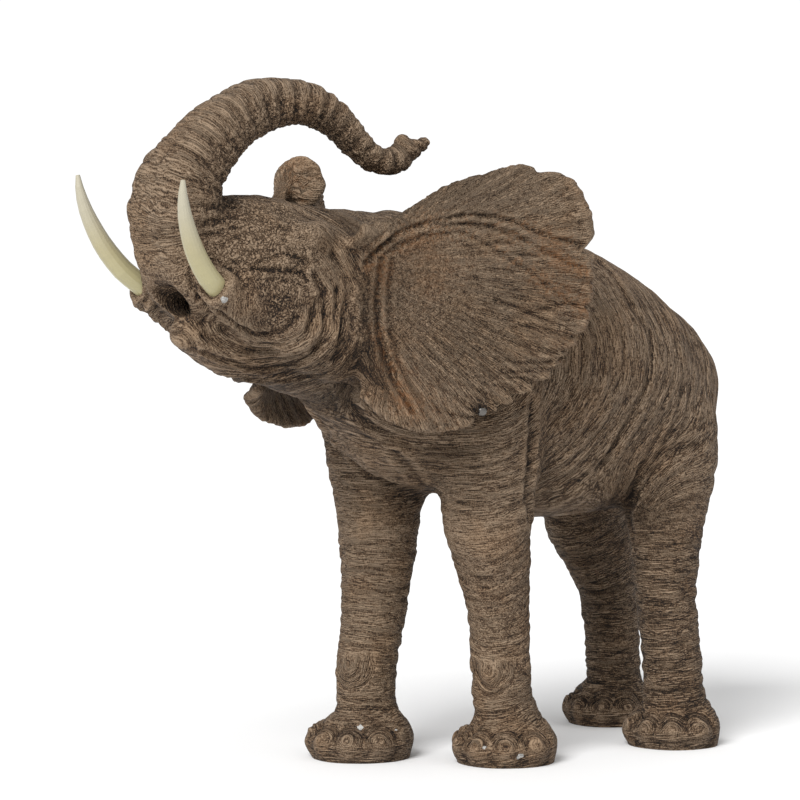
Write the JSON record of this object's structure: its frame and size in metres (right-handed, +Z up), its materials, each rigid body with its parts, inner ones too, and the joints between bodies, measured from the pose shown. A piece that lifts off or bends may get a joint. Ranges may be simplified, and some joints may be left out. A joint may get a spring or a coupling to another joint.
{
  "type": "elephant figurine",
  "caption": "Standing elephant figurine with its trunk raised in an arch over its head, open mouth, spread ears and upturned tusks.",
  "frame": {"origin": "middle of the figure's box in plan, on the plane that the feet stand on", "axes": "+Z up, -X the way the head looks, -Y the elephant's left side"},
  "size_m": [0.4244, 0.2228, 0.3798],
  "materials": {
    "resin": "cast resin, painted brown with a dark wash, matte",
    "tusk": "cream, satin",
    "pin": "dull steel"
  },
  "bodies": {
    "root": {"elephant": "resin", "tusk_left": "tusk", "tusk_right": "tusk", "ear_pin": "pin"}
  },
  "joints": []
}
